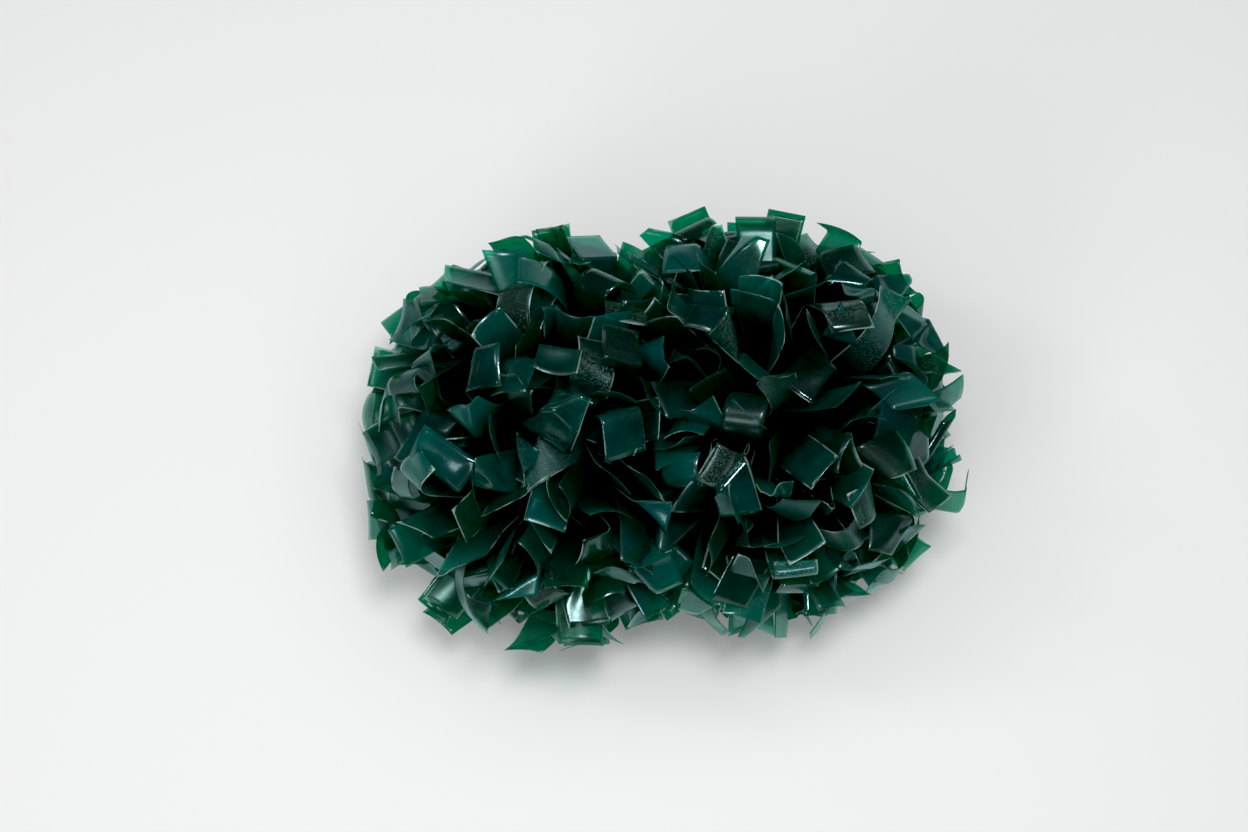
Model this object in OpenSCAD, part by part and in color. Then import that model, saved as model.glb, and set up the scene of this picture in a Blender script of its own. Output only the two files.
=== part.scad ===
// Cheer pom with a hidden baton handle.
// A moulded baton runs along X. Each end carries a spool hub, and film slit into
// strips is wound round the hub and clamped by a cable tie. The strips fan out
// into two tufts that meet over the grip. Each bundle of strips has a rolled root bead
// in the hub's groove, and the bundle swings about that bead.
// +X is right, +Y is back and +Z is up. The origin is the middle of the grip, on its axis.

/* [Baton handle] */
// Diameter of the hand grip
grip_d = 24; // [21:0.5:26]
// Length of the grip between the two hubs
grip_len = 75; // [70:1:95]
// Depth of the grip's finger grooves
groove_depth = 0.9; // [0.4:0.1:1.4]
// Diameter of the spigot that carries each hub
spigot_d = 16; // [14:0.5:18]

/* [Hub and clamp] */
// Radius of the hub's barrel, under the wound film
barrel_r = 15.2; // [15:0.1:15.4]
// Width of the cable tie
tie_w = 4.8; // [3.6:0.2:6]
// Width of the unslit film spine wound round the hub
spine_w = 9.2; // [7:0.2:9.4]
// Length of the cap screw
screw_len = 16; // [10:1:18]

/* [Film strips] */
// Width of one film strip
strip_w = 19; // [12:1:19]
// Length of a strip from its root bead to its tip
strip_len = 86; // [82:1:90]
// Thickness of a strip, which stands for a few layers of film
strip_t = 0.6; // [0.4:0.1:0.8]
// How far the strips' lengths vary
ragged = 0.12; // [0:0.01:0.12]

/* [Tufts] */
// Height of the baton's axis above the surface it rests on
rest_h = 80; // [74:1:80]
// Length of the strips folded flat under the pom
foot_len = 30; // [20:1:32]

/* [Hidden] */
$fn = 64;
play = 0.05;                 // running clearance between fitted pieces

// Baton
grip_end = grip_len / 2;
chamfer = 0.8;               // on the ends of the grip and spigots
groove_count = 7;
groove_margin = 6;           // plain length at each end of the grip
groove_land = 2.4;           // half the full-width land between grooves
groove_slope = 0.9;          // length of a groove's sloping side
key_cut = 1.2;               // depth of the flat along the top of the spigot
key_z = spigot_d / 2 - key_cut;

// Hub, with a flange at the grip and a lip at the outer end
flange_t = 3;
flange_r = 20.4;
flange_chamfer = 1;
hub_half = 9.5;              // half the barrel's length
hub_x = grip_end + flange_t + hub_half;   // middle of the barrel
lip_t = 2;
lip_r = barrel_r + 1.4;
hub_end = hub_x + hub_half + lip_t;
spine_r = barrel_r + 2.3;

// Cable tie
tie_r = spine_r + play;      // inside of the band
tie_t = 1.3;

// End cap and screw
cap_t = 3;
cap_rim_t = 1.2;
cap_floor_t = 1.2;           // left under the screw head
cap_hole_r = 2.2;
cap_recess_r = 4.6;
shank_r = 2;
screw_tip_r = 0.8;
screw_tip_len = 2;
screw_hole_depth = 20;
// Screw head: [x from its seat, radius]
SCREW_HEAD = [[0, 4], [1.2, 3.9], [2.1, 3.1], [2.5, 1.8], [2.5, 0]];

// Strips
bead_r = 2.2;                // rolled root of a bundle of strips
bead_len = 17.6;
bead_gap = 0.6;              // between bead and barrel
bead_axis_r = barrel_r + bead_gap + bead_r;
bead_dx = 7;                 // each ring of beads from the middle of the hub
root_half_w = 3.5;           // half width of a strip at its root
gather_len = 34;             // from the root to a strip's full width
max_slant = 2.5;             // most that a strip's tip is cut askew
foot_w = 16;
foot_t = 1;
foot_y = 10;                 // each foot's middle from the XZ plane

// Layers of strips in a bundle: polar angle from the baton's end, angles of the strips
// within the layer, and their share of the full length
INNER = [
    [82, [-24, 0, 24], 1], [90, [-13, 13], 1], [98, [-26, 0, 26], 1],
    [106, [-13, 13], 1], [114, [-24, 0, 24], 1], [122, [-12, 12], 0.82]];
OUTER = [
    [64, [-22, 0, 22], 1], [55, [-10, 10], 1], [46, [-16, 16], 1],
    [37, [-11, 11], 1], [28, [-8, 8], 1.03], [18, [0], 1.06]];

// Where each bundle points round the baton, from the top and on over the back
SECTORS = ["top", "upper_back", "lower_back", "bottom", "lower_front", "upper_front"];
sector_step = 360 / len(SECTORS);

SIDES = ["left", "right"];
HUB_PARTS = ["hub_spool", "film_spine", "cable_tie", "end_cap", "cap_screw"];

// A repeatable value from -1 to 1 for each seed
function scatter(seed) =
    let (v = sin(seed * 97.31 + 41.7) * 437.585)
    2 * (v - floor(v)) - 1;

// Puts its children at the right end, or mirrors them to the left end
module at_side(side) {
    if (side == "right") children();
    else mirror([1, 0, 0]) children();
}

// A turned shape along X from a list of [x, radius] points
module turned(points) {
    rotate([90, 0, 90]) rotate_extrude() polygon([for (p = points) [p[1], p[0]]]);
}

// A ring round X, centred on the hub
module hub_ring(width, r_in, r_out) {
    x0 = hub_x - width / 2;
    x1 = hub_x + width / 2;
    turned([[x0, r_in], [x0, r_out], [x1, r_out], [x1, r_in]]);
}

// A cylinder from the origin along +X
module rod(r, length) {
    rotate([0, 90, 0]) cylinder(r = r, h = length);
}

// The space on +X below a flat at height z, reaching out to each side and down
module below_flat(z, length, reach) {
    translate([0, -reach, -reach]) cube([length, 2 * reach, reach + z]);
}

// The grip with its finger grooves
module grip() {
    r = grip_d / 2;
    pitch = (grip_len - 2 * groove_margin) / groove_count;
    slope_end = groove_land + groove_slope;
    turned(concat(
        [[-grip_end, 0], [-grip_end, r - chamfer], [-grip_end + chamfer, r]],
        [for (i = [0 : groove_count - 1])
            let (x0 = groove_margin - grip_end + i * pitch, x1 = x0 + pitch)
            each [
                [x0 + groove_land, r],
                [x0 + slope_end, r - groove_depth],
                [x1 - slope_end, r - groove_depth],
                [x1 - groove_land, r]]],
        [[grip_end - chamfer, r], [grip_end, r - chamfer], [grip_end, 0]]));
}

// The right spigot, from the middle of the baton, with its flat on top
module spigot() {
    r = spigot_d / 2;
    tip = hub_end - 0.2;     // just inside the hub's outer face
    intersection() {
        turned([[0, 0], [0, r], [tip - chamfer, r], [tip, r - chamfer], [tip, 0]]);
        below_flat(key_z, length = 100, reach = spigot_d);
    }
}

// One moulded piece: ribbed grip and a keyed spigot at each end, bored for the screw
module baton_handle() {
    color([0.07, 0.07, 0.075])
    difference() {
        union() {
            grip();
            for (side = SIDES) at_side(side) spigot();
        }
        for (side = SIDES) at_side(side)
            translate([hub_end - screw_hole_depth, 0, 0])
            rod(shank_r + play, screw_hole_depth + 10);
    }
}

// Spool that slides on the spigot: inner flange, barrel for the wound film, outer lip
module hub_spool(side) {
    barrel_start = hub_x - hub_half;
    barrel_end = hub_x + hub_half;
    color([0.07, 0.07, 0.075])
    at_side(side)
    difference() {
        turned([
            [grip_end + play, 0], [grip_end + play, flange_r - flange_chamfer],
            [grip_end + flange_chamfer, flange_r], [barrel_start, flange_r],
            [barrel_start, barrel_r], [barrel_end, barrel_r],
            [barrel_end, lip_r], [hub_end, lip_r], [hub_end, 0]]);
        intersection() {
            rod(spigot_d / 2 + play, 200);
            below_flat(key_z + play, length = 200, reach = 50);
        }
    }
}

// The unslit middle of the film, wound round the barrel
module film_spine(side) {
    color([0.01, 0.2, 0.15])
    at_side(side)
    hub_ring(spine_w, barrel_r + play, spine_r);
}

// A block on the tie, wider than the band by margin on each side and
// starting rise above the band's inner face
module tie_block(margin, y, length, rise, height) {
    translate([hub_x - tie_w / 2 - margin, y, tie_r + rise])
        cube([tie_w + 2 * margin, length, height]);
}

// Nylon tie that clamps the film to the hub, with its ratchet head and cut tail.
// The head lies between the top and upper back bundles.
module cable_tie(side) {
    color([0.1, 0.1, 0.1])
    at_side(side)
    rotate([-sector_step / 2, 0, 0])
    difference() {
        union() {
            hub_ring(tie_w, tie_r, tie_r + tie_t);
            // head
            tie_block(margin = 0.7, y = -3.6, length = 7.2, rise = 0.4, height = 5.2);
            // tail
            tie_block(margin = -0.3, y = -4, length = 12, rise = 2.2, height = 1.2);
        }
        rod(tie_r, 200);
        // ratchet slot through the head
        tie_block(margin = -0.5, y = -10, length = 20, rise = 3.7, height = 0.7);
    }
}

// Domed cap that keeps the hub on its spigot
module end_cap(side) {
    x = hub_end + play;
    seat = x + cap_floor_t;
    color([0.08, 0.08, 0.085])
    at_side(side)
    turned([
        [x, cap_hole_r], [x, lip_r], [x + cap_rim_t, lip_r],
        [x + cap_t - 0.4, lip_r - 2.2], [x + cap_t, lip_r - 5],
        [x + cap_t, cap_recess_r], [seat, cap_recess_r], [seat, cap_hole_r]]);
}

// Pan-head screw with a cross recess, through the cap into the baton
module cap_screw(side) {
    seat = hub_end + cap_floor_t + 2 * play;
    tip = seat - screw_len;
    slot_len = 4;
    slot_w = 0.7;
    color([0.75, 0.75, 0.77])
    at_side(side)
    difference() {
        turned(concat(
            [[tip, 0], [tip, screw_tip_r], [tip + screw_tip_len, shank_r], [seat, shank_r]],
            [for (p = SCREW_HEAD) [seat + p[0], p[1]]]));
        for (turn = [0, 90]) rotate([turn, 0, 0])
            translate([seat + 1, -slot_len / 2, -slot_w / 2]) cube([3, slot_len, slot_w]);
    }
}

// Outline of one strip along +Y: gathered at the root, full width further out,
// cut a little askew
module strip(length, slant) {
    half_w = strip_w / 2;
    polygon([
        [-root_half_w, 0], [root_half_w, 0], [half_w, gather_len],
        [half_w, length - slant], [-half_w, length + slant], [-half_w, gather_len]]);
}

// Bundle of strip layers with its root bead. Its frame has the bead's axis along Y,
// +Z away from the baton and +X towards the baton's end.
module bundle(layers, seed) {
    rotate([90, 0, 0]) cylinder(r = bead_r, h = bead_len, center = true);
    for (i = [0 : len(layers) - 1]) {
        polar = layers[i][0];
        fan = layers[i][1];
        full_len = strip_len * layers[i][2];
        rotate([0, 90 - polar, 0]) rotate([90, 0, 90]) translate([0, 0, -strip_t / 2])
            linear_extrude(strip_t)
            for (j = [0 : len(fan) - 1]) {
                strip_seed = seed + 17 * i + 5 * j;
                rotate(fan[j])
                    strip(full_len * (1 - ragged * abs(scatter(strip_seed))),
                          max_slant * scatter(strip_seed + 9));
            }
    }
}

// Strips of the lowest bundles that fold flat on the surface
module feet(x) {
    for (y = [-foot_y, foot_y])
        translate([x, y - foot_w / 2, -rest_h]) cube([foot_len, foot_w, foot_t]);
}

// Bundle k of a ring dx from the middle of the hub, cut off at the surface the pom
// rests on. The bottom bundle has feet that start at foot_x.
module placed_bundle(side, k, dx, layers, seed, foot_x) {
    intersection() {
        at_side(side) {
            translate([hub_x + dx, 0, 0]) rotate([-k * sector_step, 0, 0])
                translate([0, 0, bead_axis_r]) bundle(layers, seed);
            if (SECTORS[k] == "bottom") feet(foot_x);
        }
        translate([-300, -300, -rest_h]) cube([600, 600, 600]);
    }
}

module inner_strips(side, k) {
    seed = 31 * k + (side == "left" ? 400 : 0);
    color([0.0, 0.27, 0.2])
    placed_bundle(side, k, -bead_dx, INNER, seed, foot_x = 14);
}

module outer_strips(side, k) {
    seed = 47 * k + (side == "left" ? 700 : 0);
    color([0.0, 0.31, 0.23])
    placed_bundle(side, k, bead_dx, OUTER, seed, foot_x = 72);
}

baton_handle();
for (s = SIDES) {
    hub_spool(s);
    film_spine(s);
    cable_tie(s);
    end_cap(s);
    cap_screw(s);
    for (k = [0 : len(SECTORS) - 1]) {
        inner_strips(s, k);
        outer_strips(s, k);
    }
}
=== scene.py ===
"""A baton with a tuft of thin green film strips at each end, lying on a pale floor.

The baton lies along X: left is -X, right is +X, front is -Y, back is +Y, up is +Z.
Each tuft has an inner and an outer set of six bundles of strips, spaced round the baton.
"""

import math
from types import SimpleNamespace

import bpy
import numpy as np
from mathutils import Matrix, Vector


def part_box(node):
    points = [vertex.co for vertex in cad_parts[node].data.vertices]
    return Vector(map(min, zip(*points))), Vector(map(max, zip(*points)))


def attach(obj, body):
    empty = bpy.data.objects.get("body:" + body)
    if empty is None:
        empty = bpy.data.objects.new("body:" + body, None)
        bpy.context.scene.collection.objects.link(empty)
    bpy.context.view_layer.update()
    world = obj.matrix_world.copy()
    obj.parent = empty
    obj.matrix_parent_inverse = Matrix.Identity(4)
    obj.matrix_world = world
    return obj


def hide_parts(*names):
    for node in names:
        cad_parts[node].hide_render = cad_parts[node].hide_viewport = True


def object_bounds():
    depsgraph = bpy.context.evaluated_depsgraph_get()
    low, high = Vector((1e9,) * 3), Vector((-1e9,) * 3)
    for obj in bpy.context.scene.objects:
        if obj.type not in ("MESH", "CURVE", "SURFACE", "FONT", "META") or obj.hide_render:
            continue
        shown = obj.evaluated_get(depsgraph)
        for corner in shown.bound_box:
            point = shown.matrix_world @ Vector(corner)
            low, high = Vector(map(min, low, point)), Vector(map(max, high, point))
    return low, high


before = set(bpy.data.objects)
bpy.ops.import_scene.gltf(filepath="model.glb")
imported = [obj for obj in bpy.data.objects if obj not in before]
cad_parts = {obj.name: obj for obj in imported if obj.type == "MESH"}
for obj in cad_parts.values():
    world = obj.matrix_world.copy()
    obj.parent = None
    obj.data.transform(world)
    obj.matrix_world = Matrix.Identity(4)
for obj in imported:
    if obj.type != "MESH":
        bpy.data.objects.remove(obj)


def corners(box):
    return [[float(v) for v in c] for c in box]


CAD_BOX = corners(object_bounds())

# ------------------------------------------------------------------ measures (metres)
SIDES = {-1: "left", 1: "right"}
SECTORS = ["top", "upper_back", "lower_back", "bottom", "lower_front", "upper_front"]
# shift: of the roots outwards from the hub's middle; strips: in each bundle;
# polar: degrees from the outward axis between which the strips are spread
GROUPS = {
    "inner": SimpleNamespace(shift=-0.007, strips=29, polar=(134, 73)),
    "outer": SimpleNamespace(shift=0.007, strips=20, polar=(73, 6)),
}
HUB_X = 0.050             # middle of each hub, from the middle of the baton
ROOT_R = 0.018            # of the bundle roots, about the baton's axis
BEAD_R = 0.0022
BEAD_HALF = 0.0086        # half the length of a bead
FLOOR_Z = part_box("right_inner_strips_bottom")[0][2]
STRIP_W = 0.019
ROOT_W = 0.0052           # width of a strip gathered at its root
FILM_T = 0.00014          # thickness drawn for one film
# millimetres the outline of each tuft, seen from above, lies inside a circle,
# at these degrees from its front round its end to its back
DENT_DEGREES = np.arange(-105, 106, 15)
DENTS = {-1: [5, 2, 0, 5, 2, 6, 0, 2, 4, 7, 2, 4, 6, 5, 8],
         1: [-2, 0, 6, 13, 3, 11, 10, -3, 8, 4, 11, 3, 3, 4, 0]}
STEPS_ACROSS = 8          # across a strip
SLANTED_STEPS = 12        # across a strip with a slanted bend
TRIES = 56                # shapes tried for each strip
MM = 0.001
UP = np.array([0, 0, 1.0])

rng = np.random.default_rng(20731)


def unit(v):
    return v / np.maximum(np.linalg.norm(v, axis=-1, keepdims=True), 1e-12)


def smooth(x, start, end):
    t = np.clip((x - start) / (end - start), 0, 1)
    return t * t * (3 - 2 * t)


def normals(points):
    """Normals of grids of points."""
    return unit(np.cross(np.gradient(points, axis=-3), np.gradient(points, axis=-2)))


def tuft_centre(side):
    return np.array([side * HUB_X, 0, 0])


def bundle_frame(side, group, sector):
    """Axes of a bundle, outwards along the baton, round it and away from it, and its root."""
    turn = math.radians(90 - 60 * sector)
    outward = np.array([side, 0.0, 0.0])
    away = np.array([0.0, math.cos(turn), math.sin(turn)])
    around = np.cross(away, outward)
    root = (HUB_X + GROUPS[group].shift) * outward + ROOT_R * away
    return outward, around, away, root


# ------------------------------------------------------------------ shapes of the strips
# A strip is a flat film that is only ever bent round straight lines across it. Each bend
# has a place along the strip, a slant of its line, an angle and a radius. Bend 0, near
# the root, is slow; bends 1 to 3 give the tip its shape.
BENDS = 4
KINDS = ["arc", "crease", "rolled", "straight", "two creases", "slanted crease"]
CHANCES = np.array([0.20, 0.22, 0.04, 0.30, 0.14, 0.10])
UPRIGHT_CHANCES = np.array([0.13, 0.13, 0.02, 0.56, 0.08, 0.08])   # stiffer strips


def between(rng, low, high):
    """An angle between two, given in degrees."""
    return math.radians(rng.uniform(low, high))


def about_zero(rng, spread):
    """An angle near zero, its spread given in degrees."""
    return math.radians(rng.normal(0, spread))


def either(rng):
    return rng.choice([-1, 1])


def tip_bends(kind, length, rng):
    """Place, slant, angle and radius of bend 1, or of bends 1 and 2."""
    if kind == "arc":
        angle = between(rng, 30, 95)
        radius = rng.uniform(0.011, 0.032)
        half = 0.5 * angle * radius
        place = max(length * 0.45 + half, length - half - rng.uniform(0, 0.012))
        return place, about_zero(rng, 20), angle, radius
    if kind == "crease":
        return (length - rng.uniform(0.012, 0.030), about_zero(rng, 30),
                between(rng, 35, 115), rng.uniform(0.0012, 0.0045))
    if kind == "rolled":
        angle = between(rng, 95, 200)
        radius = rng.uniform(0.0062, 0.0115)
        place = length - 0.5 * angle * radius - rng.uniform(0.0, 0.005)
        return place, about_zero(rng, 9), angle, radius
    if kind == "straight":
        return (length * rng.uniform(0.6, 0.8), about_zero(rng, 35),
                about_zero(rng, 18), rng.uniform(0.01, 0.04))
    if kind == "two creases":
        return ([length * rng.uniform(0.60, 0.70), length - rng.uniform(0.010, 0.022)],
                np.radians(rng.normal(0, 26, 2)),
                [between(rng, 25, 75), between(rng, 25, 90) * either(rng)],
                rng.uniform(0.0015, 0.008, 2))
    return (length - rng.uniform(0.018, 0.030), between(rng, 48, 66) * either(rng),
            between(rng, 40, 120), rng.uniform(0.0012, 0.003))


def end_bend(kind, length, rng):
    """Bend 3, if there is one: a turned corner or a slight curl."""
    if kind != "rolled" and rng.random() < 0.28:
        return (length - rng.uniform(0.004, 0.009), between(rng, 38, 60) * either(rng),
                between(rng, 30, 140) * either(rng), rng.uniform(0.0010, 0.0022))
    if kind in ("arc", "crease") and rng.random() < 0.4:
        return (length - rng.uniform(0.006, 0.014), about_zero(rng, 18),
                about_zero(rng, 30), rng.uniform(0.004, 0.010))
    return None


def set_bends(strips, index, which, bend):
    for name, value in zip(("place", "slant", "angle", "radius"), bend):
        getattr(strips, name)[index, which] = value


def shape_strips(strips, stiff, rng):
    """Gives the strips their lengths and bends. stiff runs from 0 to 1."""
    strips.length = rng.uniform(0.086, 0.100, TRIES)
    for name in ("place", "slant", "angle"):
        setattr(strips, name, np.zeros((TRIES, BENDS)))
    strips.radius = np.full((TRIES, BENDS), 0.004)
    strips.place[:, 0] = strips.length * rng.uniform(0.30, 0.42, TRIES)
    strips.slant[:, 0] = np.radians(rng.normal(0, 22, TRIES))
    strips.angle[:, 0] = np.radians(rng.normal(0, 17, TRIES))
    strips.radius[:, 0] = rng.uniform(0.030, 0.060, TRIES)
    kinds = [KINDS[rng.choice(len(KINDS), p=CHANCES * (1 - w) + UPRIGHT_CHANCES * w)]
             for w in stiff]
    sign = rng.choice([-1.0, 1.0], TRIES)
    for j, kind in enumerate(kinds):
        if kind == "straight":
            strips.length[j] *= rng.uniform(0.88, 0.96)
        tip = tip_bends(kind, strips.length[j], rng)
        set_bends(strips, j, slice(1, 1 + np.size(tip[0])), tip)
        end = end_bend(kind, strips.length[j], rng)
        if end:
            set_bends(strips, j, 3, end)
    strips.angle[:, 1:] *= sign[:, None]


def lay_down(strips, rng):
    """Strips that would run into the floor lie down along it. Returns which ones do."""
    direction = strips.direction
    dive = -direction[:, 2]
    room = strips.root[:, 2] - FLOOR_Z - 0.0012
    floor_reach = room / np.maximum(dive, 1e-3)
    hit = (dive > 0.05) & (floor_reach < strips.length * 0.98)
    if not hit.any():
        return hit
    level = np.cross(direction, UP)
    spare = rng.normal(0, 1, (TRIES, 3)) * [1, 1, 0]     # for strips that point straight down
    level = unit(np.where(np.linalg.norm(level, axis=1, keepdims=True) > 0.12, level, spare))
    level = unit(level - direction * np.sum(level * direction, axis=1, keepdims=True))
    sign = np.sign(np.cross(direction, level)[:, 2] + 1e-9)
    angles = np.arcsin(np.clip(dive, 0, 1)) + np.radians(rng.uniform(0, 7, TRIES))
    radii = rng.uniform(0.006, 0.016, TRIES)
    for j in np.nonzero(hit)[0]:
        angle, radius = angles[j], radii[j]
        strips.across[j] = level[j]
        for values in (strips.place, strips.slant, strips.angle):
            values[j] = 0
        place = floor_reach[j] - radius * math.tan(angle / 2) + 0.5 * angle * radius
        set_bends(strips, j, 1, (max(place, 0.012), 0, angle * sign[j], radius))
        set_bends(strips, j, 3, (strips.length[j] - rng.uniform(0.006, 0.016), 0,
                                 abs(about_zero(rng, 25)) * sign[j], 0.006))
    return hit


def reach_limit(side, direction, rng):
    """How far from the middle of its hub each strip may reach."""
    end_on = smooth(side * direction[:, 0], 0.05, 0.55)
    limit = np.clip(rng.normal(0.0990, 0.0050, TRIES) + 0.0015 * np.abs(direction[:, 1])
                    - 0.0050 * end_on, 0.083, 0.1085)
    # the outline is seen from above, a little from the front: 14 degrees off the vertical
    seen_up = direction[:, 1] * 0.970 + direction[:, 2] * 0.242
    turn = np.degrees(np.arctan2(seen_up, side * direction[:, 0]))
    dent = np.interp(turn, DENT_DEGREES, DENTS[side])
    at_outline = smooth(np.hypot(seen_up, direction[:, 0]), 0.74, 0.95)
    return np.clip(limit - MM * dent * at_outline, 0.081, 0.1085)


def random_strips(side, group, sector, polar, swing, rng):
    """TRIES random shapes of one strip about its place in the bundle."""
    strips = SimpleNamespace()
    polar = polar + np.radians(rng.normal(0, 4.0, TRIES))
    swing = swing + np.radians(rng.normal(0, 4.5, TRIES))
    outward, around, away, root = bundle_frame(side, group, sector)
    direction = unit(np.cos(polar)[:, None] * outward
                     + (np.sin(polar) * np.sin(swing))[:, None] * around
                     + (np.sin(polar) * np.cos(swing))[:, None] * away)
    strips.direction = direction
    strips.root = (root + np.sin(swing)[:, None] * around * 0.0075
                   + rng.uniform(-0.0012, 0.0012, (TRIES, 1)) * around + direction * 0.0004)
    # the way the film's width runs
    first = unit(np.cross(direction, away + 0.31 * outward))
    second = np.cross(direction, first)
    roll = rng.uniform(0, 2 * math.pi, TRIES)
    # many of the strips that lie level show their flat side upwards
    level = (np.abs(direction[:, 2]) < 0.45) & (rng.random(TRIES) < 0.42)
    flat = np.cross(direction, UP)
    flat_roll = np.arctan2(np.sum(flat * second, axis=1), np.sum(flat * first, axis=1))
    roll = np.where(level, flat_roll + np.radians(rng.normal(0, 24, TRIES)), roll)
    strips.across = unit(first * np.cos(roll)[:, None] + second * np.sin(roll)[:, None])
    # the strips that stand straight up are stiffer, as nothing leans on them
    stiff = np.where(level, 0.8, smooth(direction[:, 2], 0.62, 0.85))
    shape_strips(strips, stiff, rng)
    hit = lay_down(strips, rng)
    strips.twist = np.where(hit, 0.0, np.radians(rng.normal(0, 22, TRIES)))
    strips.taper = rng.uniform(0.93, 1.05, TRIES)
    strips.limit = reach_limit(side, direction, rng)
    return strips


def bend_film(strips, across, along, relief):
    """Points of each film, from places on the flat film and its small relief (k, n, m)."""
    x, y, z = across, along, relief
    for bend in reversed(range(BENDS)):
        place, slant, angle, radius = (
            values[:, bend][:, None, None]
            for values in (strips.place, strips.slant, strips.angle, strips.radius))
        if not np.any(angle):
            continue
        sign = np.where(angle < 0, -1.0, 1.0)
        size = np.maximum(np.abs(angle), 1e-6)
        half = 0.5 * radius * size
        cos_slant, sin_slant = np.cos(slant), np.sin(slant)
        # how far past the bend's start, on the flat film and as bent so far
        flat_past = (along - place) * cos_slant + across * sin_slant + half
        past = (y - place) * cos_slant + x * sin_slant + half
        on_line = -(y - place) * sin_slant + x * cos_slant
        turned = np.clip(flat_past / radius, 0, size)
        cos_turned, sin_turned = np.cos(turned), np.sin(turned)
        height = z * sign
        beyond = past - radius * turned
        forward = radius * sin_turned + beyond * cos_turned - height * sin_turned
        lifted = radius * (1 - cos_turned) + beyond * sin_turned + height * cos_turned
        forward = forward - half
        y = forward * cos_slant - on_line * sin_slant + place
        x = forward * sin_slant + on_line * cos_slant
        z = lifted * sign
    # slow twist about the strip's own root line
    twist = strips.twist[:, None, None] * smooth(y, 0.01, 0.09)
    x, z = x * np.cos(twist) - z * np.sin(twist), x * np.sin(twist) + z * np.cos(twist)
    normal = np.cross(strips.direction, strips.across)
    return (strips.root[:, None, None, :] + strips.across[:, None, None, :] * x[..., None]
            + strips.direction[:, None, None, :] * y[..., None]
            + normal[:, None, None, :] * z[..., None])


def width_at(along, full):
    return ROOT_W + (full - ROOT_W) * smooth(along, 0.004, 0.034)


# ------------------------------------------------------------------ choosing the strips
# grid of cells that records where strips already are, and which way they face
CELL = 0.0020
GRID_LO = np.array([-0.165, -0.125, -0.085])
GRID_N = np.array([165, 125, 105])
occupied = np.zeros(GRID_N, dtype=np.float32)
normal_at = np.zeros((*GRID_N, 3), dtype=np.float32)

# where a film is sampled: shares of its length, and of its half width
SCORE_ALONG, SCORE_ACROSS = np.linspace(0.34, 1.0, 26), np.linspace(-1, 1, 9)
PLACE_ALONG, PLACE_ACROSS = np.linspace(0.0, 1.0, 90), np.linspace(-1, 1, 17)

# the box the strips keep to
ROOM_LO = np.array(CAD_BOX[0]) + [0.001, -0.008, 0.0]
ROOM_HI = np.array(CAD_BOX[1]) + [-0.001, 0.008, 0.006]
ROOM_LO[2] = FLOOR_Z
LEAST_REACH = 0.080
PAST_MIDDLE = 0.012       # how far a strip may reach past the baton's middle

OVERLAP_COST = 0.35       # for each sample in a taken cell
CROSSING_COST = 1.3       # added to it, where the films cross at right angles
FLOOR_COST = 4000         # for each metre of each sample below the floor
FAR_COST = 12             # for each millimetre of reach past the limit
SHORT_COST = 5            # for each millimetre of reach too little
MIDDLE_COST = 200         # for each metre of each sample past the middle
ROOM_COST = 6000          # for each metre of each sample outside the box


def cells(points):
    index = np.floor((points - GRID_LO) / CELL).astype(np.int64)
    index = np.clip(index, 0, GRID_N - 1)
    return index[..., 0], index[..., 1], index[..., 2]


def flat_places(strips, shares_along, shares_across):
    return (strips.length[:, None, None] * shares_along[None, :, None]
            * np.ones((1, 1, len(shares_across))))


def score(strips, side):
    """Cost of each shape; the lowest is the best."""
    along = flat_places(strips, SCORE_ALONG, SCORE_ACROSS)
    across = 0.5 * STRIP_W * SCORE_ACROSS[None, None, :] * np.ones_like(along)
    points = bend_film(strips, across, along, np.zeros_like(along))
    taken = cells(points)
    crossing = 1 - np.abs(np.sum(normal_at[taken] * normals(points), axis=-1))
    weight = smooth(SCORE_ALONG, 0.34, 0.62)[None, :, None]
    overlap = OVERLAP_COST + CROSSING_COST * np.minimum(crossing, 1)
    cost = np.sum(occupied[taken] * overlap * weight, axis=(1, 2))
    low = np.clip(FLOOR_Z + 0.0004 - points[..., 2], 0, None)
    cost += FLOOR_COST * np.sum(low, axis=(1, 2))
    reach = np.linalg.norm(points - tuft_centre(side), axis=-1).max(axis=(1, 2))
    cost += FAR_COST * np.clip(reach - strips.limit, 0, None) / MM
    cost += SHORT_COST * np.clip(LEAST_REACH - reach, 0, None) / MM
    over = np.clip(-side * points[..., 0] - PAST_MIDDLE, 0, None)
    cost += MIDDLE_COST * np.sum(over, axis=(1, 2))
    out = np.clip(ROOM_LO - points, 0, None) + np.clip(points - ROOM_HI, 0, None)
    cost += ROOM_COST * np.sum(out, axis=(1, 2, 3))
    return cost


def place_strip(strip):
    """Marks the cells a strip takes."""
    along = flat_places(strip, PLACE_ALONG, PLACE_ACROSS)
    across = 0.5 * width_at(along, STRIP_W) * PLACE_ACROSS[None, None, :]
    points = bend_film(strip, across, along, np.zeros_like(along))
    taken = cells(points[0])
    occupied[taken] = 1
    normal_at[taken] = normals(points)[0]


def directions(group, offset):
    """Directions spread evenly over a bundle's share of the tuft, by the plastic ratio."""
    ratio = 1.32471795724474602596
    index = np.arange(GROUPS[group].strips) + 1
    first = (0.5 + offset[0] + 1 / ratio * index) % 1
    second = (0.5 + offset[1] + 1 / (ratio * ratio) * index) % 1
    start, end = (math.cos(math.radians(d)) for d in GROUPS[group].polar)
    polar = np.arccos(start + (end - start) * first)
    widest = np.radians(36 + 12 * (1 - np.sin(polar)) ** 2)
    return polar, (2 * second - 1) * widest


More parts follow.
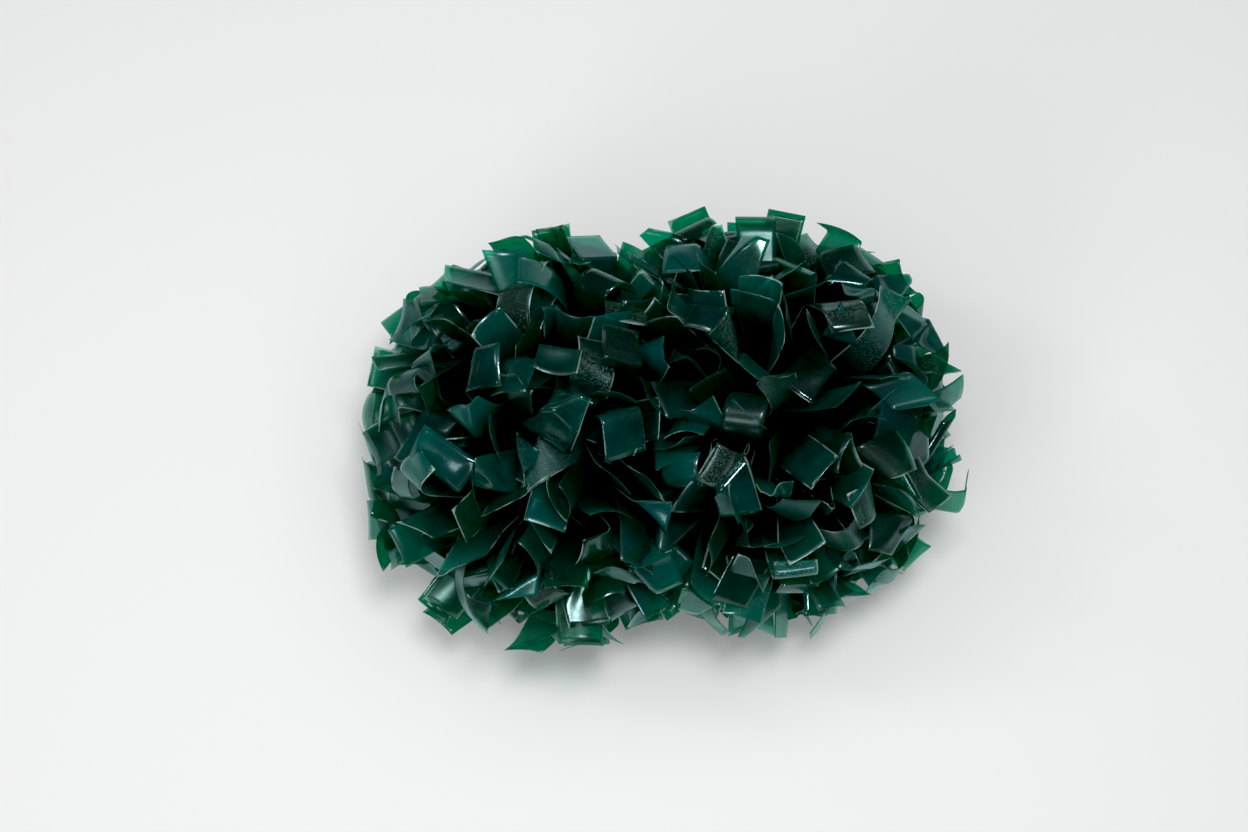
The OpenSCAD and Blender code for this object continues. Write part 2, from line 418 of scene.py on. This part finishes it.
def choose_strips():
    """The strips of every bundle, taken in a random order, each the best of its tries."""
    todo = []
    for side in SIDES:
        for group in GROUPS:
            for sector in range(len(SECTORS)):
                for polar, swing in zip(*directions(group, rng.random(2))):
                    todo.append((side, group, sector, polar, swing))
    bundles = {}
    for index in rng.permutation(len(todo)):
        side, group, sector, polar, swing = todo[index]
        tries = random_strips(side, group, sector, polar, swing, rng)
        best = int(np.argmin(score(tries, side)))
        strip = SimpleNamespace(**{k: v[best:best + 1] for k, v in vars(tries).items()})
        place_strip(strip)
        bundles.setdefault((side, group, sector), []).append(strip)
    return bundles


# ------------------------------------------------------------------ film meshes
def sheet_points(top, bottom):
    return np.concatenate([top.reshape(-1, 3), bottom.reshape(-1, 3)])


def sheet_faces(rows, columns):
    """Quads of a closed thin sheet: a grid of points, the same again below, and the rim."""
    below = rows * columns
    index = np.arange(below).reshape(rows, columns)
    a, b, c, d = index[:-1, :-1], index[1:, :-1], index[1:, 1:], index[:-1, 1:]
    upper = np.stack([a, b, c, d], -1).reshape(-1, 4)
    lower = np.stack([a, d, c, b], -1).reshape(-1, 4) + below
    rim = np.concatenate([index[:, 0], index[-1, 1:], index[-2::-1, -1], index[0, -2:0:-1]])
    following = np.roll(rim, -1)
    wall = np.stack([rim, rim + below, following + below, following], -1)
    return np.concatenate([upper, lower, wall]).tolist()


def film_object(name, points, faces, data):
    """A smooth mesh with what the film material reads:
    edge: 0 mid-film to 1 at its edges; hard: 1 on bends; outer: 1 at the tuft's outside,
    lower in its thick and away from a strip's tip, where the material paints shade;
    tone: one random value for each strip; film: place on the film, in strip widths.
    """
    mesh = bpy.data.meshes.new(name)
    mesh.from_pydata(points.tolist(), [], faces)
    for key in ("edge", "hard", "outer", "tone"):
        attribute = mesh.attributes.new(key, "FLOAT", "POINT")
        attribute.data.foreach_set("value", data[key].astype(np.float32))
    attribute = mesh.attributes.new("film", "FLOAT_VECTOR", "POINT")
    attribute.data.foreach_set("vector", data["film"].astype(np.float32).ravel())
    mesh.polygons.foreach_set("use_smooth", np.ones(len(mesh.polygons), dtype=bool))
    mesh.update()
    ob = bpy.data.objects.new(name, mesh)
    bpy.context.scene.collection.objects.link(ob)
    return ob


def real_bends(strip):
    """Place, slant, size of angle and radius of each bend that isn't nearly flat."""
    for place, slant, angle, radius in zip(strip.place[0], strip.slant[0],
                                           strip.angle[0], strip.radius[0]):
        if abs(angle) >= 0.02:
            yield place, slant, abs(angle), radius


def steps_along(strip):
    """Places along a strip, closer together where it bends."""
    x = np.linspace(0, strip.length[0], 800)
    density = np.full_like(x, 1 / 0.0034)
    density += (x < 0.034) / 0.012
    for place, slant, angle, radius in real_bends(strip):
        half = (0.5 * angle * radius / max(math.cos(slant), 0.3)
                + 0.5 * STRIP_W * abs(math.tan(slant)))
        extra = min(angle / 0.16, 14) / max(2 * half, 0.002)
        outside = np.clip(np.abs(x - place) - half, 0, None)
        density += extra * np.exp(-0.5 * (outside / 0.0012) ** 2)
    count = np.concatenate([[0], np.cumsum(0.5 * (density[1:] + density[:-1]) * np.diff(x))])
    steps = int(min(max(count[-1], 26), 60))
    return np.interp(np.linspace(0, count[-1], steps + 1), count, x)


def flatness(strip, across, along):
    """1 where the film is free to ripple, less where a bend holds it flat."""
    free = np.ones_like(along)
    for place, slant, angle, radius in real_bends(strip):
        gap = (np.abs((along - place) * math.cos(slant) + across * math.sin(slant))
               - 0.5 * angle * radius)
        held = (1 - smooth(gap, -0.001, 0.006)) * min(1.0, angle / 0.5)
        free = free * (1 - held * min(1.0, 0.03 / radius))
    return free


def film_relief(s, u, share, free, rng):
    """Shallow trough, ripples, and pleats where the film is gathered into its root."""
    sag = float(np.clip(rng.normal(0, 0.0017), -0.0032, 0.0032))
    relief = sag * (1 - u ** 2) * free * smooth(share, 0.15, 0.5)
    for _ in range(3):
        height = abs(rng.normal(0, 0.00016))
        to_edge = 0.35 + 0.65 * (0.5 + 0.5 * u * rng.choice([-1.0, 1.0])) ** 2
        wave = np.sin(rng.uniform(50, 170) * s + rng.uniform(-2.5, 2.5) * u
                      + rng.uniform(0, 6))
        relief = relief + (height * to_edge * wave * (0.3 + 0.7 * free)
                           * smooth(share, 0.25, 0.5))
    pleats = 0.0009 * np.cos(2.5 * math.pi * u + rng.uniform(0, 6))
    return relief + pleats * (1 - smooth(s, 0.006, 0.034)) * smooth(s, 0.0, 0.004)


def ribbon(strip, side, rng):
    """One closed thin film: its points, faces and point data."""
    length = strip.length[0]
    full = STRIP_W * strip.taper[0]
    slanted = any(abs(slant) > 0.45 and angle > 0.1
                  for _, slant, angle, _ in real_bends(strip))
    steps = SLANTED_STEPS if slanted else STEPS_ACROSS
    s, u = np.meshgrid(steps_along(strip), np.linspace(-1, 1, steps + 1), indexing="ij")
    share = s / length
    # the tip is cut a little askew, some quite slanted
    skew = rng.normal(0, 0.08) if rng.random() < 0.78 else rng.normal(0, 0.32)
    skew = float(np.clip(skew, -0.5, 0.5))
    across = 0.5 * width_at(s, full) * u
    along = s + skew * across * smooth(share, 0.5, 1.0)
    # an edge that isn't dead straight
    across = across * (1 + 0.018 * np.sin(s * rng.uniform(90, 220) + rng.uniform(0, 6))
                       * smooth(share, 0.4, 0.6))
    free = flatness(strip, across, s)
    relief = film_relief(s, u, share, free, rng)
    middle = bend_film(strip, across[None], along[None], relief[None])[0]
    normal = normals(middle)
    middle[..., 2] = np.maximum(middle[..., 2], FLOOR_Z + 0.00035)
    points = sheet_points(middle + normal * FILM_T * 0.5, middle - normal * FILM_T * 0.5)
    # painted shade: outer runs from 0 in the thick of the tuft to 1 at its outside, and the
    # material darkens the film where it is low
    outer = smooth(np.linalg.norm(points - tuft_centre(side), axis=-1), 0.059, 0.102)
    from_tip = np.tile((length - s).reshape(-1), 2)
    film = np.stack([across / STRIP_W, s / STRIP_W, np.zeros_like(s)], -1).reshape(-1, 3)
    edge = np.maximum(np.abs(u), 1 - (length - s) / (0.5 * full))
    data = {
        "edge": np.tile(edge.reshape(-1), 2),
        "hard": np.tile((1 - free).reshape(-1), 2),
        # lowered away from the strip's tip, for painted shade deeper in the tuft
        "outer": outer * (1 - 0.72 * smooth(from_tip, 0.006, 0.036)),
        "film": np.tile(film, (2, 1)),
    }
    return points, sheet_faces(*s.shape), data


def bead(side, group, sector, rng):
    """The rolled root of a bundle: a short uneven bar across it, round the baton."""
    outward, around, away, centre = bundle_frame(side, group, sector)
    rings, ring_points = 26, 28
    turn, t = np.meshgrid(np.linspace(0, 2 * math.pi, ring_points, endpoint=False),
                          np.linspace(-1, 1, rings))
    radius = BEAD_R * (0.94 + 0.05 * np.sin(5 * turn + 7 * t + rng.uniform(0, 6))
                       + 0.03 * np.sin(9 * turn - 11 * t))
    rounding = np.clip((np.abs(t) - 0.9) / 0.12, 0, 1)
    radius = radius * np.sqrt(np.clip(1 - rounding ** 2, 0.12, 1))
    points = (centre + around * (t * BEAD_HALF)[..., None]
              + outward * (radius * np.cos(turn))[..., None]
              + away * (radius * np.sin(turn))[..., None]).reshape(-1, 3)
    index = np.arange(rings * ring_points).reshape(rings, ring_points)
    following = np.roll(index, -1, 1)
    quads = np.stack([index[:-1], index[1:], following[1:], following[:-1]], -1)
    faces = quads.reshape(-1, 4).tolist() + [index[0].tolist(), index[-1][::-1].tolist()]
    # outer is 0 here: the bead, in the thick of the tuft, takes the full painted shade
    data = {key: np.zeros(len(points)) for key in ("edge", "hard", "outer")}
    data["film"] = np.zeros((len(points), 3))
    return points, faces, data


def build_bundle(side, group, sector, strips):
    """The strips of one bundle and the bead at their root, as one mesh."""
    rng = np.random.default_rng(1000 + 97 * sector + (13 if group == "inner" else 0)
                                + (500 if side > 0 else 0))
    all_points, all_faces, all_data = [], [], []
    base = 0

    def join(piece, tone):
        nonlocal base
        points, faces, data = piece
        data["tone"] = np.full(len(points), tone)
        data["film"][:, 2] = data["tone"] * 37.0      # sets the strips apart in the textures
        all_points.append(points)
        all_faces.extend([i + base for i in face] for face in faces)
        all_data.append(data)
        base += len(points)

    for strip in strips:
        join(ribbon(strip, side, rng), rng.random())
    join(bead(side, group, sector, rng), 0.5)
    data = {key: np.concatenate([d[key] for d in all_data]) for key in all_data[0]}
    name = "strips_%s_%s_%s" % (SIDES[side], group, SECTORS[sector])
    return film_object(name, np.concatenate(all_points), all_faces, data)


def build_wrap(side):
    """The unslit middle of the film: one long film wound round the hub, its edges uneven."""
    lo, hi = (np.array(c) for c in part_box(SIDES[side] + "_film_spine"))
    rng = np.random.default_rng(77 + side)
    half, outer_r = 0.5 * (hi[0] - lo[0]), 0.5 * (hi[2] - lo[2])
    x_mid, y_mid, z_mid = (0.5 * (lo[i] + hi[i]) for i in range(3))
    inner_r = 0.01530
    margin = 0.00018          # the edges stop this far inside the spine's ends
    turns, steps_per_turn, columns = 8, 72, 9
    rows = turns * steps_per_turn + 1
    angle = np.linspace(0, 2 * math.pi * turns, rows)
    pitch = (outer_r - inner_r - 0.00022) / turns
    radius = inner_r + 0.00010 + pitch * angle / (2 * math.pi)

    def edge_at(depth, slow, fast, phase):
        return (half - margin
                - depth * (0.5 + 0.5 * np.sin(slow * angle + rng.uniform(0, 6)))
                * (0.5 + 0.5 * np.sin(fast * angle + phase)))

    low_edge = edge_at(depth=0.0005, slow=0.37, fast=5.3, phase=1.0)
    high_edge = edge_at(depth=0.0006, slow=0.53, fast=4.1, phase=0.0)
    t = np.linspace(0, 1, columns)
    x = -low_edge[:, None] * (1 - t) + high_edge[:, None] * t
    ripple = radius[:, None] + 0.00003 * np.sin(9 * angle[:, None] + 7 * t)
    half_t = 0.5 * min(FILM_T, pitch * 0.62)
    top, bottom = (
        np.stack([x_mid + x, y_mid + (ripple + offset) * np.cos(angle)[:, None],
                  z_mid + (ripple + offset) * np.sin(angle)[:, None]], -1)
        for offset in (half_t, -half_t))
    points = sheet_points(top, bottom)
    wound = (angle * radius)[:, None] / STRIP_W * np.ones_like(x)
    film = np.stack([x / STRIP_W, wound, np.zeros_like(x)], -1).reshape(-1, 3)
    data = {
        "edge": np.tile(np.abs(2 * t - 1), 2 * rows),
        "hard": np.zeros(len(points)),
        # a fixed 0.35 of outer: the wrap, deep in the tuft, takes most of the painted shade
        "outer": np.full(len(points), 0.35),
        "tone": np.full(len(points), 0.45),
        "film": np.tile(film, (2, 1)),
    }
    return film_object(SIDES[side] + "_film_wrap", points, sheet_faces(rows, columns), data)


# ------------------------------------------------------------------ materials
class Nodes:
    """Adds shader nodes to a tree. An input is given as a value or as a socket to link."""

    def __init__(self, tree):
        self.tree = tree

    def feed(self, socket, value):
        if isinstance(value, bpy.types.NodeSocket):
            self.tree.links.new(value, socket)
        else:
            socket.default_value = value

    def add(self, kind, inputs=None, output=0, **settings):
        """Returns the output socket."""
        node = self.tree.nodes.new("ShaderNode" + kind)
        for name, value in settings.items():
            setattr(node, name, value)
        for key, value in (inputs or {}).items():
            self.feed(node.inputs[key], value)
        return node.outputs[output]

    def finish(self, surface):
        node = self.tree.nodes.new("ShaderNodeOutputMaterial")
        self.feed(node.inputs["Surface"], surface)

    def attribute(self, name, output="Fac"):
        return self.add("Attribute", output=output, attribute_name=name)

    def math(self, operation, *values, clamp=False):
        return self.add("Math", dict(enumerate(values)), operation=operation, use_clamp=clamp)

    def ramp(self, factor, *stops):
        """Stops are (position, colour or grey value)."""
        output = self.add("ValToRGB", {"Fac": factor}, output="Color")
        elements = output.node.color_ramp.elements
        while len(elements) < len(stops):
            elements.new(0.5)
        for element, (position, value) in zip(elements, stops):
            element.position = position
            element.color = (*(value if isinstance(value, tuple) else (value,) * 3), 1)
        return output

    def noise(self, vector, scale, detail, roughness=0.5):
        return self.add("TexNoise", {"Vector": vector, "Scale": scale, "Detail": detail,
                                     "Roughness": roughness}, output="Fac")

    def bump(self, height, strength, distance, **normal):
        return self.add("Bump", {"Strength": strength, "Distance": distance,
                                 "Height": height, **normal})

    def mix_colour(self, factor, first, second):
        return self.add("Mix", {"Factor": factor, "A": first, "B": second},
                        output="Result", data_type="RGBA")

    def mix_shader(self, factor, first, second):
        return self.add("MixShader", {"Fac": factor, 1: first, 2: second})


def new_material(name):
    material = bpy.data.materials.new(name)
    material.use_nodes = True
    material.node_tree.nodes.clear()
    return material, Nodes(material.node_tree)


def film_material():
    material, nodes = new_material("film_green")
    math_, ramp = nodes.math, nodes.ramp
    film = nodes.attribute("film", "Vector")
    edge, hard, tone, outer = (nodes.attribute(n) for n in ("edge", "hard", "tone", "outer"))
    # streaks are drawn out along the film
    drawn_out = nodes.add("Mapping", {"Vector": film, "Scale": (7.0, 0.8, 1.0)})
    streak = nodes.noise(drawn_out, scale=1.6, detail=5.0, roughness=0.62)
    cloud = nodes.noise(film, scale=1.4, detail=4.0)
    grain = nodes.noise(film, scale=34.0, detail=4.0, roughness=0.6)

    def lot(factor):
        """A random value from 0 to 1 for each strip, another for each factor."""
        return math_("FRACT", math_("MULTIPLY", tone, factor))

    # painted highlight: a pale glint along one edge of some strips, on the right edge of
    # some, on the left of others, and a faint pale line round every edge
    across = nodes.add("SeparateXYZ", {0: film}, output="X")
    picked = lot(7.31)
    which = math_("SUBTRACT", math_("GREATER_THAN", picked, 0.80),
                  math_("LESS_THAN", picked, 0.18))
    one_edge = math_("MULTIPLY", math_("MULTIPLY", across, which), 2.0)
    painted_edge_glint = ramp(one_edge, (0.0, 0), (0.952, 0), (0.985, 1))
    # painted highlight: a faint pale line round every edge
    faint_edge_glint = ramp(edge, (0.0, 0), (0.965, 0), (0.99, 0.05))
    streaked = math_("MULTIPLY", streak, 1.5)
    painted_edge_glint = math_("MULTIPLY", painted_edge_glint, streaked, clamp=True)
    rim = math_("MAXIMUM", painted_edge_glint, faint_edge_glint)
    # painted highlight: a broken pale line round the edges of some strips picked at random
    glint_picked = math_("GREATER_THAN", lot(13.7), 0.72)
    broken_edge_glint = ramp(edge, (0.0, 0), (0.915, 0), (0.965, 1))
    gaps = ramp(cloud, (0.50, 0), (0.56, 1))
    broken_edge_glint = math_("MULTIPLY", math_("MULTIPLY", broken_edge_glint, gaps), math_("MULTIPLY", glint_picked, 0.85))
    rim = math_("MAXIMUM", rim, broken_edge_glint)
    # pale flecks on hard bends: partly the film's own stress whitening, partly painted
    # highlight, much stronger on the strips picked for the broken painted highlight
    flecks = math_("MULTIPLY", ramp(grain, (0.50, 0), (0.72, 1)), hard)
    whitening_and_glint = math_("MULTIPLY", flecks, math_("MULTIPLY_ADD", glint_picked, 0.40, 0.10))
    pale = math_("MAXIMUM", rim, whitening_and_glint)
    # painted shade on the pale marks: they fade towards the thick of the tuft
    pale = math_("MULTIPLY", pale, math_("MULTIPLY_ADD", outer, 0.75, 0.25))

    # colour of what the film scatters back, with painted shade: darker in the thick of the
    # tuft and away from the tips, where outer is low; the green itself differs at random from
    # strip to strip
    tone_mix = math_("MULTIPLY_ADD", cloud, 0.5, math_("MULTIPLY_ADD", tone, 0.62, 0.0))
    green = ramp(tone_mix, (0.22, (0.0002, 0.0050, 0.0068)), (0.5, (0.0004, 0.0165, 0.0215)),
                 (0.84, (0.0014, 0.132, 0.142)))
    green_with_painted_shade = nodes.mix_colour(outer, (0.0001, 0.0020, 0.0022, 1), green)
    # pale colour of the painted highlights and of the stress whitening
    colour = nodes.mix_colour(pale, green_with_painted_shade, (0.72, 0.93, 0.88, 1))

    normal = nodes.bump(cloud, strength=0.24, distance=0.0009)
    normal = nodes.bump(streak, strength=0.05, distance=0.0002, Normal=normal)
    normal = nodes.bump(grain, strength=0.12, distance=0.0001, Normal=normal)

    # scattered light, with some glowing through
    body = nodes.add("BsdfDiffuse", {"Color": colour, "Normal": normal})
    glow = nodes.add("BsdfTranslucent", {"Color": (0.002, 0.46, 0.27, 1), "Normal": normal})
    scatter = nodes.mix_shader(0.26, body, glow)
    # clear tinted film, more see-through towards the tuft's outside, and there paler and a
    # little more open on some strips picked at random: painted light, brightening the outer
    # strips against the thick of the tuft
    paler_pick = math_("GREATER_THAN", lot(9.1), 0.66)
    tint = nodes.mix_colour(math_("MULTIPLY", paler_pick, outer),
                            (0.010, 0.78, 0.50, 1), (0.060, 0.88, 0.62, 1))
    clear = nodes.add("BsdfTransparent", {"Color": tint})
    openness = math_("MULTIPLY", outer, math_("MULTIPLY_ADD", paler_pick, 0.08, 0.31))
    sheer = nodes.mix_shader(math_("ADD", openness, 0.25), scatter, clear)
    # gloss, its roughness varied from strip to strip, strongest at grazing angles
    rough = ramp(cloud, (0.25, 0.20), (0.75, 0.34))
    rough = math_("MULTIPLY", rough, math_("MULTIPLY_ADD", lot(3.77), 0.8, 0.55))
    gloss = nodes.add("BsdfGlossy", {"Color": (0.66, 0.96, 1.0, 1), "Roughness": rough,
                                     "Normal": normal})
    facing = nodes.add("LayerWeight", {"Blend": 0.5, "Normal": normal}, output="Facing")
    sheen = math_("MULTIPLY_ADD", math_("POWER", facing, 4.0), 0.48, 0.074)
    nodes.finish(nodes.mix_shader(sheen, sheer, gloss))
    return material


def solid_surface(nodes, colour, roughness, height, strength, distance, metallic=0.0):
    normal = nodes.bump(height, strength, distance)
    nodes.finish(nodes.add("BsdfPrincipled", {
        "Base Color": colour, "Roughness": roughness, "Normal": normal,
        "Metallic": metallic}))


def plastic_material(name, colour, roughness, grain):
    material, nodes = new_material(name)
    place = nodes.add("TexCoord", output="Object")
    broad = nodes.noise(place, scale=28.0, detail=3.0)
    fine = nodes.noise(place, scale=grain, detail=6.0, roughness=0.6)
    darker = tuple(v * 0.86 for v in colour)
    solid_surface(nodes, nodes.ramp(broad, (0.3, darker), (0.7, colour)),
                  nodes.ramp(fine, (0.3, roughness * 0.8), (0.75, roughness * 1.35)),
                  fine, strength=0.18, distance=0.0002)
    return material


def steel_material():
    material, nodes = new_material("screw_zinc")
    place = nodes.add("TexCoord", output="Object")
    drawn_out = nodes.add("Mapping", {"Vector": place, "Scale": (60, 600, 600)})
    brushed = nodes.noise(drawn_out, scale=4.0, detail=5.0)
    colour = nodes.ramp(brushed, (0.3, (0.44, 0.44, 0.45)), (0.7, (0.66, 0.66, 0.68)))
    solid_surface(nodes, colour, nodes.ramp(brushed, (0.3, 0.22), (0.7, 0.42)),
                  brushed, strength=0.25, distance=0.0001, metallic=1.0)
    return material


def floor_material():
    """Pale and matt. Far away the camera, but no other ray, sees it as pale as the wall."""
    material, nodes = new_material("floor_pale")
    matt = nodes.add("BsdfPrincipled", {"Base Color": (0.88, 0.88, 0.88, 1),
                                        "Roughness": 0.75, "Specular IOR Level": 0.15})
    position = nodes.add("NewGeometry", output="Position")
    distance = nodes.add("VectorMath", {0: position}, output="Value", operation="LENGTH")
    fade = nodes.add("MapRange", {"Value": distance, "From Min": 0.42, "From Max": 1.7},
                     output="Result", interpolation_type="SMOOTHSTEP")
    camera_ray = nodes.add("LightPath", output="Is Camera Ray")
    pale = nodes.add("Emission", {"Color": (0.76, 0.776, 0.80, 1)})
    nodes.finish(nodes.mix_shader(nodes.math("MULTIPLY", fade, camera_ray), matt, pale))
    return material


def dress(node, material):
    """Gives a CAD piece its material."""
    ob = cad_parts[node]
    if not ob.material_slots:
        ob.data.materials.append(material)
    for slot in ob.material_slots:
        slot.material = material


FILM = film_material()
HANDLE = plastic_material("handle_black", (0.020, 0.021, 0.022), roughness=0.34, grain=900.0)
HUB = plastic_material("hub_black", (0.026, 0.027, 0.028), roughness=0.48, grain=700.0)
TIE = plastic_material("tie_black", (0.022, 0.022, 0.024), roughness=0.38, grain=800.0)
STEEL = steel_material()

dress("baton_handle", HANDLE)
for side_name in SIDES.values():
    dress(side_name + "_hub_spool", HUB)
    dress(side_name + "_end_cap", HUB)
    dress(side_name + "_cable_tie", TIE)
    dress(side_name + "_cap_screw", STEEL)


# ------------------------------------------------------------------ pieces
def hand_over(ob, rides, replaced):
    ob.data.materials.append(FILM)
    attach(ob, rides)
    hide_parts(replaced)


bundles = choose_strips()
for side, side_name in SIDES.items():
    hand_over(build_wrap(side), "handle", side_name + "_film_spine")
    for group in GROUPS:
        for sector, sector_name in enumerate(SECTORS):
            hand_over(build_bundle(side, group, sector, bundles[side, group, sector]),
                      "%s_%s_%s" % (side_name, group, sector_name),
                      "%s_%s_strips_%s" % (side_name, group, sector_name))


# ------------------------------------------------------------------ floor, light, camera
def build_floor(half=4):
    mesh = bpy.data.meshes.new("floor")
    outline = [(-half, -half), (half, -half), (half, half), (-half, half)]
    mesh.from_pydata([(x, y, FLOOR_Z) for x, y in outline], [], [(0, 1, 2, 3)])
    floor = bpy.data.objects.new("floor", mesh)
    bpy.context.scene.collection.objects.link(floor)
    mesh.materials.append(floor_material())


def area(name, location, size, power, target=(0, 0, 0)):
    light = bpy.data.lights.new(name, "AREA")
    light.shape = "RECTANGLE"
    light.size, light.size_y = size
    light.energy = power
    ob = bpy.data.objects.new(name, light)
    ob.location = location
    aim = Vector(target) - Vector(location)
    ob.rotation_euler = aim.to_track_quat("-Z", "Y").to_euler()
    bpy.context.scene.collection.objects.link(ob)
    return ob


def build_world():
    """Light of the room, by which kind of ray sees it."""
    world = bpy.data.worlds.new("studio")
    bpy.context.scene.world = world
    world.use_nodes = True
    nodes = Nodes(world.node_tree)
    rays = nodes.add("LightPath").node.outputs
    # the room's soft light, and what a shiny surface sees of it beside the panels
    room = nodes.add("Mix", {"Factor": rays["Is Glossy Ray"], "A": 0.16, "B": 0.05},
                     output="Result")
    # the pale wall behind, where the camera sees past the floor
    strength = nodes.add("Mix", {"Factor": rays["Is Camera Ray"], "A": room, "B": 0.80},
                         output="Result")
    background = world.node_tree.nodes["Background"]
    nodes.feed(background.inputs[0], (0.95, 0.97, 1.0, 1))
    nodes.feed(background.inputs[1], strength)


def build_camera(elevation, azimuth, distance, target):
    """Looks down on the target; azimuth is measured from the front towards the right."""
    camera = bpy.data.cameras.new("cam")
    camera.sensor_width = 36.0
    camera.lens = 70.0
    ob = bpy.data.objects.new("cam", camera)
    bpy.context.scene.collection.objects.link(ob)
    bpy.context.scene.camera = ob
    view = Vector((math.sin(azimuth) * math.cos(elevation),
                   -math.cos(azimuth) * math.cos(elevation), math.sin(elevation)))
    ob.location = target + view * distance
    ob.rotation_euler = (-view).to_track_quat("-Z", "Y").to_euler()


build_floor()
area("key", (0.05, -0.08, 1.24), size=(0.25, 0.22), power=7.2)
area("front", (-1.0, -1.2, 1.2), size=(0.6, 0.6), power=5.0, target=(-0.1, -0.1, 0))
area("side", (-0.85, 0.25, 1.25), size=(0.14, 0.55), power=2.0)
top_light = area("top", (-0.12, -0.22, 1.4), size=(1.7, 1.7), power=10.0,
                 target=(-0.12, -0.22, 0))
top_light.visible_glossy = False
build_world()
build_camera(elevation=math.radians(76), azimuth=math.radians(-4.5), distance=1.13,
             target=Vector((-0.0162, 0.0075, 0.006)))

settings = bpy.context.scene.view_settings
settings.view_transform = "Standard"
settings.look = "None"
settings.exposure = 0.0
settings.use_curve_mapping = True
settings.curve_mapping.black_level = (0.0048, 0.0048, 0.0048)
settings.curve_mapping.update()
